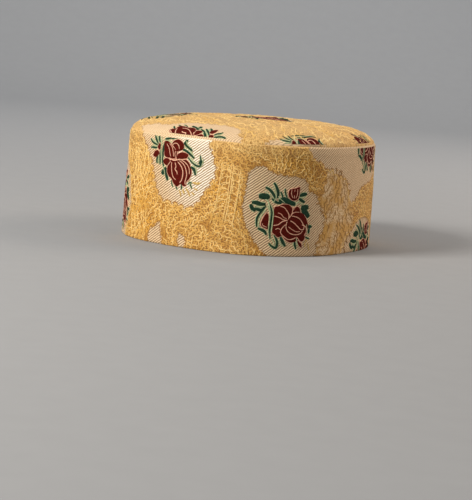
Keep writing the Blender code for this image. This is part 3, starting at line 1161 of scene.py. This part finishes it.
class FezColours(bpy.types.PropertyGroup):
    gold: colour_prop("Gold", "Gold ground", "#E9B65F")
    gold_deep: colour_prop("Deep gold", "The specks in the gold ground", "#946127")
    gold_warm: colour_prop("Warm gold", "Where the gold ground is dyed deeper", "#C68F3C")
    gold_yellow: colour_prop("Yellow gold", "Where the gold ground is yellower", "#E8AE4A")
    gold_vein: colour_prop("Gold vein", "Raised veins and cords on the gold", "#FFE09A")
    gold_vein_deep: colour_prop("Deep gold vein", "Shaded threads of the veins", "#DFB05A")
    cream: colour_prop("Cream", "The palest cream twill", "#FFF6E6")
    # the warm cream and its deeper twill lines are partly the cloth's own tone and partly painted shade, for
    # the fields that lie on the cap's shaded side
    cream_warm: colour_prop("Warm cream", "Cream that is tinted by the gold", "#E6C8A0")
    twill_line: colour_prop("Twill line", "The slanting lines in the palest cream", "#AD916A")
    twill_deep: colour_prop("Deep twill line", "The slanting lines in the warm cream", "#957450")
    # the pale gold: along the seam a painted highlight on the rolled edge and wear, and on the crown a pale
    # tone all over
    worn: colour_prop("Worn", "Where the cloth is rubbed along the seam, and on the crown", "#F0D296")
    lace: colour_prop("Lace", "Pale ground between the brown veins", "#E8CBA0")
    lace_deep: colour_prop("Deep lace", "Hollows of the pale ground", "#BE945A")
    lace_warm: colour_prop("Warm lace", "Where the pale ground turns gold", "#CF9E50")
    lace_vein: colour_prop("Lace vein", "Brown veins on the pale ground", "#B98A4C")
    lace_vein_deep: colour_prop("Deep lace vein", "Shaded threads of the brown veins", "#976A34")
    sprig: colour_prop("Sprig", "Small dashes beside the roses", "#D2B468")
    red: colour_prop("Rose red", "Rose petals", "#5A160E")
    red_deep: colour_prop("Deep red", "Shaded threads of the petals", "#3A0C07")
    red_light: colour_prop("Light red", "Bright threads of the petals", "#701E15")
    pink: colour_prop("Pink", "Lines in the roses", "#EDBD9C")
    pink_deep: colour_prop("Deep pink", "Shaded threads of the lines", "#D6917A")
    green: colour_prop("Leaf green", "Leaves", "#2A4735")
    green_deep: colour_prop("Deep green", "Shaded threads of the leaves", "#182F21")
    green_pale: colour_prop("Pale green", "Edging and lines of the leaves", "#BFC69E")
    green_pale_deep: colour_prop("Deep pale green", "Shaded threads of those lines", "#97A873")
    backing: colour_prop("Backing", "Cotton inside the cap", "#B59B74")
    backing_deep: colour_prop("Deep backing", "Hollows of the cotton's weave", "#8C7350")
    paper: colour_prop("Paper", "Studio paper", "#989A9D")
    paper_light: colour_prop("Light paper", "The paper's tooth", "#9C9EA1")


# Both pitches are drawn coarser than the real threads', to show
class FezSizes(bpy.types.PropertyGroup):
    twill_pitch: bpy.props.FloatProperty(name="Twill pitch", default=1.57, min=0.2,
                                         description="Between the cream's slanting lines, in millimetres")
    twill_lean: bpy.props.FloatProperty(name="Twill lean", default=37.0,
                                        description="How steeply the lines rise, in degrees")
    satin_pitch: bpy.props.FloatProperty(name="Satin pitch", default=0.75, min=0.2,
                                         description="Between the gold's threads, in millimetres")
    satin_lean: bpy.props.FloatProperty(name="Satin lean", default=38.0,
                                        description="How steeply the gold's threads rise, in degrees")
    speckle: bpy.props.FloatProperty(name="Speckle", default=0.85, min=0.2,
                                     description="Specks of the gold ground in each millimetre")
    vein_width: bpy.props.FloatProperty(name="Vein width", default=VEIN_WIDTH, min=0.1,
                                        description="Width of a raised vein, in millimetres")
    stem_width: bpy.props.FloatProperty(name="Cord width", default=STEM_WIDTH, min=0.1,
                                        description="Width of a ladder's rail or a strand, in millimetres")
    camera_distance: bpy.props.FloatProperty(name="Camera distance", default=1.360, unit="LENGTH",
                                             description="From the camera to the point it looks at")


MATERIALS = {}


def material(name):
    """Makes each finish once, when the first piece asks for it."""
    if name not in MATERIALS:
        colours = bpy.context.scene.fez_colours
        sizes = bpy.context.scene.fez_sizes
        MATERIALS[name] = {
            "ground": lambda: brocade_ground(sizes, colours),
            "backing": lambda: backing(colours),
            "petal": lambda: floss("red_floss", colours.red, colours.red_deep, colours.red_light, 80,
                                   0.05, 0.75),
            "pink": lambda: floss("pink_floss", colours.pink, colours.pink_deep, colours.pink, 20),
            "leaf": lambda: floss("green_floss", colours.green, colours.green_deep, colours.green, 40,
                                  0.05, 0.75),
            "pale": lambda: floss("pale_green_floss", colours.green_pale, colours.green_pale_deep,
                                  colours.green_pale, 40),
            "vein": lambda: floss("gold_thread", colours.gold_vein, colours.gold_vein_deep,
                                  colours.gold_vein, 60, faded=colours.gold_vein_deep),
            "lace_vein": lambda: floss("brown_thread", colours.lace_vein, colours.lace_vein_deep,
                                       colours.lace_vein, 60),
            "sprig": lambda: floss("ochre_floss", colours.sprig, colours.lace_vein, colours.sprig, 30),
            "paper": lambda: studio_paper(colours),
        }[name]()
    return MATERIALS[name]


def cream_tone_and_shade(along, up):
    """The cream is palest right of each tall rose, and warmer and darker elsewhere: partly the cloth's own
    tone, and partly painted shade on the fields that lie on the cap's shaded side.
    """
    gaps = [math.hypot(along - PALEST[0] - x, up - PALEST[1] - y) for x, y in TALL_SHIFTS]
    return soft_step(PALEST_REACH - min(gaps), PALEST_REACH)


def seam_highlight_and_wear(up):
    """The band is paled along the seam, palest at the rolled top edge: painted highlight there, where the
    cloth turns up to the light, and wear.
    """
    below = up + CLOTH_RISE - BAND_HEIGHT / MM
    return SEAM_HIGHLIGHT_AND_WEAR * (0.55 * soft_step(below, 1.2) + 0.45 * soft_step(below + 6, 11))


def is_gold(points, fields, lace, clear):
    """Which flat points lie on the gold, clear of the cream and the lace."""
    return (depth_inside(points, fields) < -clear) & (depth_inside(points, lace) < -clear)


def veins_bm(lines, width):
    bm = bmesh.new()
    for line in lines:
        flat_cord(bm, line, width, VEIN_LIFT)
    return bm


class FEZ_OT_band_cloth(bpy.types.Operator):
    """Lays brocade over the side band, outside and round both its edges, with plain cotton inside"""
    bl_idname = "fez.band_cloth"
    bl_label = "Side Band Cloth"

    def execute(self, context):
        wall = rounded_wall(BAND_TOP, WALL, BAND_ROWS, BAND_EDGE, BAND_ROLL)
        profile = [(1 - inset, z) for inset, z in wall]
        fields, lace = band_fields()

        def attributes(flat):
            cream = depth_inside(flat, fields)
            return {"cream": cream.tolist(), "lace": depth_inside(flat, lace).tolist(),
                    "gold": [soft_step(-depth, 1.2) for depth in cream],
                    "pale": [cream_tone_and_shade(along, up) for along, up in flat],
                    "rubbed": [seam_highlight_and_wear(up) for _, up in flat]}

        def place(turn, radius, z, lift, at):
            out = (lift + band_bulge(*at)) * MM - (1 - radius)
            return oval_point(turn) * spread(z) + oval_normal(turn) * out + Vector((0, 0, z))

        piece = spun_cloth("band_cloth", profile, True, place,
                           lambda turn, radius, z: (along_at(turn), z / MM - CLOTH_RISE), attributes,
                           [material("ground"), material("backing")],
                           lambda radius, z: radius < 1 - WALL * 0.7)
        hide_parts("side_band")
        return {"FINISHED"}


class FEZ_OT_crown_cloth(bpy.types.Operator):
    """Lays brocade over the crown and round its edge at the seam, with plain cotton inside"""
    bl_idname = "fez.crown_cloth"
    bl_label = "Crown Cloth"

    def execute(self, context):
        fields = crown_fields()

        def attributes(flat):
            cream = depth_inside(flat, fields)
            return {"cream": cream.tolist(), "lace": [-FIELD_REACH * 3] * len(flat),
                    "gold": [soft_step(-depth, 1.2) for depth in cream],
                    "pale": [0.0] * len(flat),
                    "rubbed": [CROWN_PALING] * len(flat)}

        def place(turn, radius, z, lift, at):
            wave = cloth_wave(at[0] + CROWN_WAVE, at[1], (1 - radius) * MEAN_RADIUS / MM)
            wave += crown_ripple(*at, radius)
            out = crown_normal(turn, radius, z) * (lift * CROWN_FLATNESS + wave) * MM
            return oval_point(turn) * radius * crown_tuck(radius, along_at(turn)) + Vector((0, 0, z)) + out

        def flat_place(turn, radius, z):
            point = oval_point(turn) * radius
            return crown_cloth_place(point.x, point.y)

        def is_inside(radius, z):
            under = CROWN_FOOT + CROWN_TURN_UP + dome_height(min(radius, 1)) - WALL * 0.2
            return radius < 1 - WALL / MEAN_RADIUS * 0.7 and z < under

        piece = spun_cloth("crown_cloth", crown_profile(), False, place, flat_place, attributes,
                           [material("ground"), material("backing")], is_inside)
        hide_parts("crown_panel")
        return {"FINISHED"}


class FEZ_OT_band_veins(bpy.types.Operator):
    """Raises the veins on the band's gold, and the brown ones on its pale ground"""
    bl_idname = "fez.band_veins"
    bl_label = "Side Band Veins"

    def execute(self, context):
        width = context.scene.fez_sizes.vein_width
        fields, lace = band_fields()
        low = (-GIRTH / 2 + 1, -CLOTH_RISE)
        high = (GIRTH / 2 - 1, BAND_HEIGHT / MM - CLOTH_RISE)
        gold = ground_test(low, high, lambda points: is_gold(points, fields, lace, ECHO_GAP + 0.4))
        bm = veins_bm(wandering_lines(low, high, gold, band_lean, GOLD_GAP, 11), width)
        for field, (_, _, lobed) in zip(fields, FIELD_SHIFTS):
            if lobed > 0.5:
                echo = swollen(field[::2], ECHO_GAP)
                flat_cord(bm, echo + echo[:1], width, VEIN_LIFT, 1)
        clip_to_band(bm)
        lay_on_cap("band_veins", bm, on_band, material("vein"))

        pale = ground_test(low, high, lambda points: (depth_inside(points, lace) > -2)
                           & (depth_inside(points, fields) < 9))
        bm = veins_bm(wandering_lines(low, high, pale, band_lean, LACE_GAP, 12), width)
        clip_to_band(bm)
        lay_on_cap("band_lace_veins", bm, on_band, material("lace_vein"))
        return {"FINISHED"}


class FEZ_OT_crown_veins(bpy.types.Operator):
    """Raises the veins on the crown's gold, drawn out across its cloth"""
    bl_idname = "fez.crown_veins"
    bl_label = "Crown Veins"

    def execute(self, context):
        fields = crown_fields()
        reach = HALF_LENGTH / MM + 2

        def keep(points):
            points = [(x, y * CROWN_DRAW) for x, y in points]
            rings = np.array([ring_at(*crown_place(x, y)) for x, y in points])
            return (depth_inside(points, fields) < -0.6) & (rings < CROWN_REACH)

        low = (-reach, -reach / CROWN_DRAW)
        high = (reach, reach / CROWN_DRAW)
        lines = wandering_lines(low, high, ground_test(low, high, keep), crown_lean, CROWN_GAP, 21)
        bm = veins_bm(lines, context.scene.fez_sizes.vein_width * CROWN_BOLD)
        bmesh.ops.scale(bm, verts=bm.verts, vec=(1, CROWN_DRAW, 1))
        lay_on_cap("crown_veins", bm, on_crown, material("vein"))
        return {"FINISHED"}


class FEZ_OT_band_cords(bpy.types.Operator):
    """Raises the ladders and the wavy strands on the band's gold"""
    bl_idname = "fez.band_cords"
    bl_label = "Side Band Cords"

    def execute(self, context):
        width = context.scene.fez_sizes.stem_width
        bm = bmesh.new()
        for shift in TALL_SHIFTS:
            rails = [smooth_line(shifted(rail, shift), 6) for rail in LADDER_RAILS]
            for rail in rails:
                flat_cord(bm, rail, width, CORD_LIFT)
            self.add_rungs(bm, rails[0], rails[1], width)
            self.add_rungs(bm, rails[2], rails[3], width)
            for i, start in enumerate(STRAND_STARTS):
                self.add_strand(bm, start + shift[0], shift[1], i, width)
        clip_to_band(bm)
        lay_on_cap("band_cords", bm, on_band, material("vein"))
        return {"FINISHED"}

    def add_rungs(self, bm, left, right, width):
        """Scalloped rungs between two rails."""
        count = int((left[0][1] - left[-1][1]) / RUNG_PITCH)
        for k in range(count):
            share = (k + 0.5) / count
            a = left[int(share * (len(left) - 1))]
            b = right[int(share * (len(right) - 1))]
            sag = ((a[0] + b[0]) / 2, (a[1] + b[1]) / 2 + 1.2)
            flat_cord(bm, smooth_line((a, sag, b), 4), width * 0.8, CORD_LIFT)

    def add_strand(self, bm, start, drop, index, width):
        """A wavy strand that runs down the gold."""
        low = max(drop + 2, 1)
        high = min(drop + 62 + 3 * (index % 2), BAND_HEIGHT / MM - 1)
        steps = 40
        line = []
        for i in range(steps + 1):
            up = high + (low - high) * i / steps
            sway = 1.2 * math.sin(up / 2.5 + index * 1.7) + 0.5 * math.sin(up / 1.1 + index * 2.9)
            line.append((start + sway - (up - 40) * 0.03, up))
        flat_cord(bm, line, width * 0.9, CORD_LIFT)
        for i in range(2 + index % 2, steps - 1, 3):
            side = 1 if (i + index) % 2 else -1
            x, y = line[i]
            twig = ((x, y), (x + side * 1.1, y + 1.5), (x + side * 1.7, y + 3.4))
            flat_cord(bm, smooth_line(twig, 3), width * 0.75, VEIN_LIFT)


class FEZ_OT_band_roses(bpy.types.Operator):
    """Weaves the tall and the round roses into the band"""
    bl_idname = "fez.band_roses"
    bl_label = "Side Band Roses"

    def execute(self, context):
        for part, finish, kinds in ROSE_PARTS:
            bm = bmesh.new()
            for rose, shifts in (("tall", TALL_SHIFTS), ("round", ROUND_SHIFTS)):
                for shift in shifts:
                    weave(bm, ROSES[rose], kinds, lambda points, by=shift: shifted(points, by))
            cut_fine(bm)
            clip_to_band(bm)
            lay_on_cap("band_rose_" + part, bm, on_band, material(finish))
        return {"FINISHED"}


def weave(bm, rose, kinds, move, fineness=1):
    """Draws what one floss draws of a rose, petals as pillows and the rest as cords. fineness thins lines."""
    for kind in kinds:
        if kind == "petals":
            for outline in rose["petals"]:
                flat_slab(bm, smooth_loop(swollen(move(outline), PETAL_SWELL), 3), PETAL_LIFT, 0.45)
        elif kind == "edgings":
            for outline in rose["petals"]:
                loop = smooth_loop(swollen(move(outline), PETAL_SWELL), 3)
                flat_cord(bm, loop + loop[:1], EDGING, EDGING_LIFT, 1)
        elif kind == "halos":
            for width, *points in rose["leaves"]:
                flat_cord(bm, smooth_line(move(points), 5), width * LEAF_SWELL + HALO, HALO_LIFT, 0.8, True)
        else:
            in_line = kind in ("veins", "leaf_veins")
            swell, lift = (LINE_SWELL * fineness, LINE_LIFT) if in_line else (LEAF_SWELL, LEAF_LIFT)
            for width, *points in rose[kind]:
                flat_cord(bm, smooth_line(move(points), 5), width * swell, lift, leafy=not in_line)


class FEZ_OT_crown_roses(bpy.types.Operator):
    """Weaves the roses into the crown, cut off where its cloth turns in at the seam"""
    bl_idname = "fez.crown_roses"
    bl_label = "Crown Roses"

    def execute(self, context):
        for part, finish, kinds in ROSE_PARTS[:-1]:
            bm = bmesh.new()
            for rose, to, turn, size in CROWN_ROSES:
                middle = ROSES[rose]["middle"]
                drawn = [kind for kind in kinds if size is None or kind not in ("edgings", "halos")]
                weave(bm, ROSES[rose], drawn,
                      lambda points, m=middle, t=to, r=turn: about(points, m, t, r), 0.35 if size else 1)
            cut_fine(bm)
            clip_to_crown(bm)
            lay_on_cap("crown_rose_" + part, bm, on_crown, material(finish))
        return {"FINISHED"}


class FEZ_OT_stage(bpy.types.Operator):
    """Sets up the floor and backdrop, the soft lights and the camera"""
    bl_idname = "fez.stage"
    bl_label = "Studio"

    def execute(self, context):
        scene = context.scene
        self.add_paper()
        for name, light in LIGHTS.items():
            self.add_light(name, *light)
        world = bpy.data.worlds.new("studio_air")
        world.use_nodes = True
        world.node_tree.nodes["Background"].inputs["Color"].default_value = rgba((AIR_LIGHT,) * 3)
        scene.world = world
        scene.view_settings.view_transform = "Standard"
        self.add_camera(scene)
        return {"FINISHED"}

    def add_paper(self):
        """Seamless paper: a floor that curves up into the backdrop."""
        bm = bmesh.new()
        bend = PAPER_BEND
        line = [(-PAPER_NEAR, 0.0), (PAPER_FAR - bend, 0.0)]
        line += [(PAPER_FAR - bend + bend * math.sin(math.radians(9 * k)),
                  bend - bend * math.cos(math.radians(9 * k))) for k in range(1, 11)]
        line.append((PAPER_FAR, PAPER_TALL))
        verts = [bm.verts.new((-PAPER_WIDE / 2, y, z)) for y, z in line]
        edges = [bm.edges.new(pair) for pair in zip(verts, verts[1:])]
        swept = bmesh.ops.extrude_edge_only(bm, edges=edges)["geom"]
        bmesh.ops.translate(bm, verts=[item for item in swept if isinstance(item, bmesh.types.BMVert)],
                            vec=(PAPER_WIDE, 0, 0))
        bmesh.ops.rotate(bm, verts=bm.verts, cent=(0, 0, 0), matrix=Matrix.Rotation(CAMERA_AZIMUTH, 3, "Z"))
        bmesh.ops.recalc_face_normals(bm, faces=bm.faces)
        mesh = bpy.data.meshes.new("studio_paper")
        bm.to_mesh(mesh)
        bm.free()
        mesh.materials.append(material("paper"))
        mesh.shade_smooth()
        paper = bpy.data.objects.new("studio_paper", mesh)
        bpy.context.scene.collection.objects.link(paper)

    def add_light(self, name, place, aim, size, power, colour):
        """A soft box. place and aim are rightwards, away from the camera and up from the cap's middle."""
        turned = Matrix.Rotation(CAMERA_AZIMUTH, 3, "Z")
        place = turned @ Vector(place)
        data = bpy.data.lights.new(name, "AREA")
        data.size = size
        data.energy = power
        data.color = linear(colour)
        light = bpy.data.objects.new(name, data)
        light.location = place
        light.rotation_euler = (turned @ Vector(aim) - place).to_track_quat("-Z", "Y").to_euler()
        bpy.context.scene.collection.objects.link(light)

    def add_camera(self, scene):
        """The camera at the photograph's angle, with its slight tilt to one side."""
        back = Vector((math.sin(CAMERA_AZIMUTH) * math.cos(CAMERA_RISE),
                       -math.cos(CAMERA_AZIMUTH) * math.cos(CAMERA_RISE), math.sin(CAMERA_RISE)))
        right = Vector((math.cos(CAMERA_AZIMUTH), math.sin(CAMERA_AZIMUTH), 0))
        up = back.cross(right)
        tilted = Matrix((right * math.cos(CAMERA_TILT) + up * math.sin(CAMERA_TILT),
                         up * math.cos(CAMERA_TILT) - right * math.sin(CAMERA_TILT), back)).transposed()
        aim = right * CAMERA_AIM_RIGHT + Vector((0, 0, CAMERA_AIM_UP))
        data = bpy.data.cameras.new("camera")
        data.sensor_width = SENSOR
        data.lens = CAMERA_FOCAL * SENSOR
        data.clip_start = 0.05
        data.clip_end = 50
        camera = bpy.data.objects.new("camera", data)
        place = aim + back * scene.fez_sizes.camera_distance
        camera.matrix_world = Matrix.Translation(place) @ tilted.to_4x4()
        scene.collection.objects.link(camera)
        scene.camera = camera


OPERATORS = (FEZ_OT_band_cloth, FEZ_OT_crown_cloth, FEZ_OT_band_veins, FEZ_OT_crown_veins, FEZ_OT_band_cords,
             FEZ_OT_band_roses, FEZ_OT_crown_roses, FEZ_OT_stage)


class FEZ_PT_panel(bpy.types.Panel):
    bl_idname = "FEZ_PT_panel"
    bl_label = "Brocade Fez"
    bl_space_type = "VIEW_3D"
    bl_region_type = "UI"
    bl_category = "Fez"

    def draw(self, context):
        for made in OPERATORS:
            self.layout.operator(made.bl_idname)
        for group in (context.scene.fez_sizes, context.scene.fez_colours):
            for name in group.bl_rna.properties.keys():
                if name not in ("rna_type", "name"):
                    self.layout.prop(group, name)


CLASSES = (FezColours, FezSizes, *OPERATORS, FEZ_PT_panel)


def register():
    for made in CLASSES:
        bpy.utils.register_class(made)
    bpy.types.Scene.fez_colours = bpy.props.PointerProperty(type=FezColours)
    bpy.types.Scene.fez_sizes = bpy.props.PointerProperty(type=FezSizes)


def unregister():
    del bpy.types.Scene.fez_colours
    del bpy.types.Scene.fez_sizes
    for made in reversed(CLASSES):
        bpy.utils.unregister_class(made)


def main():
    register()
    for made in OPERATORS:
        name = made.bl_idname.split(".")[1]
        getattr(bpy.ops.fez, name)()


if __name__ == "__main__":
    main()
